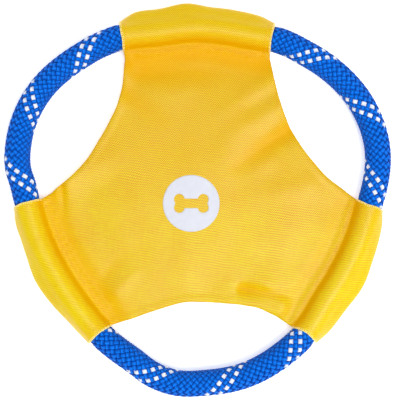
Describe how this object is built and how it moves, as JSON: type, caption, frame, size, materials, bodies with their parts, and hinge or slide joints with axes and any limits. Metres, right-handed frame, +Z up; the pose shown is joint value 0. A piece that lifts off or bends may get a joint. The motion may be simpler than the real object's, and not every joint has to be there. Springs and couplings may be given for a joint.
{
  "type": "flying ring",
  "caption": "Soft flying ring: a braided rope ring held in the sewn sleeves of a three-lobed woven cloth centre, with open grips between the lobes.",
  "frame": {"origin": "on the ground, under the middle of the ring's box as it lies flat", "axes": "+Z up out of the badge face, +Y towards the back lobe, +X towards the right bow of the rope"},
  "size_m": [0.2112, 0.216, 0.0162],
  "materials": {
    "cloth_yellow": "plain-woven polyester, matt with a slight sheen",
    "rope_blue": "braided polypropylene, satin",
    "tracer_white": "white strands braided into the sheath, satin",
    "core_yarn": "undyed twisted filler yarn",
    "thread_yellow": "polyester sewing thread",
    "tape_clear": "translucent film tape",
    "print_white": "heat-transfer print film"
  },
  "bodies": {
    "cloth": {"top_panel": "cloth_yellow", "bottom_panel": "cloth_yellow", "badge_print": "print_white", "channel_stitch_back": "thread_yellow", "outer_seam_back": "thread_yellow", "hem_stitch_back_1": "thread_yellow", "hem_stitch_back_2": "thread_yellow", "channel_stitch_left": "thread_yellow", "outer_seam_left": "thread_yellow", "hem_stitch_left_1": "thread_yellow", "hem_stitch_left_2": "thread_yellow", "channel_stitch_right": "thread_yellow", "outer_seam_right": "thread_yellow", "hem_stitch_right_1": "thread_yellow", "hem_stitch_right_2": "thread_yellow", "hollow_seam_left": "thread_yellow", "hollow_seam_front": "thread_yellow", "hollow_seam_right": "thread_yellow"},
    "rope": {"rope_sheath": "rope_blue", "splice_tape": "tape_clear", "core_strand_1": "core_yarn", "core_strand_2": "core_yarn", "core_strand_3": "core_yarn", "core_strand_4": "core_yarn", "core_strand_5": "core_yarn", "core_strand_6": "core_yarn", "core_strand_7": "core_yarn"}
  },
  "joints": [
    {"name": "rope_creep", "type": "hinge", "parent": "cloth", "child": "rope", "pos_m": [0, 0, 0.008], "axis": [0, 0, 1], "range_deg": [-2, 2]}
  ]
}
